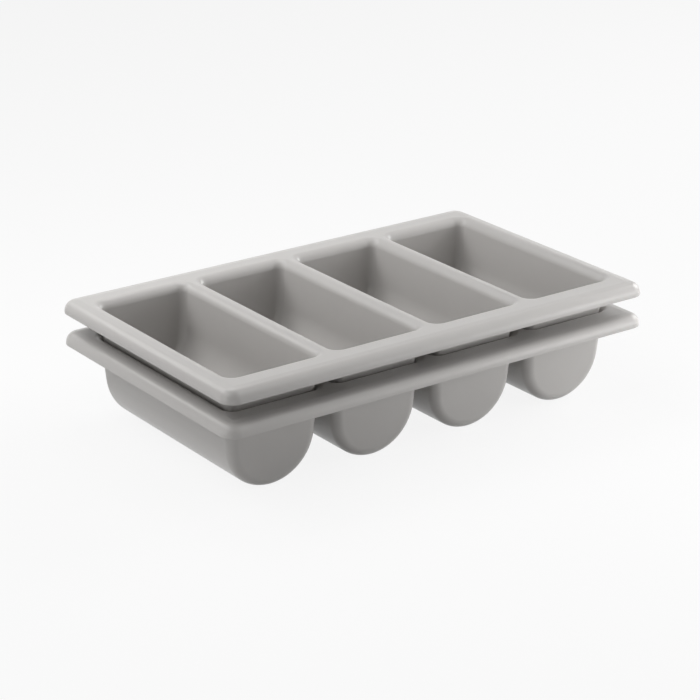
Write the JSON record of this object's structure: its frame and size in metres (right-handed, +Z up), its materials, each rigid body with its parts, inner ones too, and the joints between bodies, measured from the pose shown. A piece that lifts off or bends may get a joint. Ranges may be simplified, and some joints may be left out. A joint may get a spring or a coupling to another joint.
{
  "type": "cutlery dispenser",
  "caption": "Cutlery dispenser: two identical moulded trays nested one in the other, each a row of long round-bottomed compartments under a rim with a turned-down skirt.",
  "frame": {"origin": "centre of the overall box, at the level of the lower tray's tub bottoms, on which the stack stands", "axes": "+X along the tray's long side, from the first compartment to the last; +Y along the compartments, away from the front; +Z up"},
  "size_m": [0.53, 0.325, 0.1315],
  "materials": {
    "grey_polypropylene": "fine moulded satin, light warm grey"
  },
  "bodies": {
    "lower": {"lower_tray": "grey_polypropylene"},
    "upper": {"upper_tray": "grey_polypropylene"}
  },
  "joints": [
    {"name": "upper_tray_lift", "type": "slide", "parent": "lower", "child": "upper", "axis": [0, 0, 1], "range_m": [0, 0.12]}
  ]
}
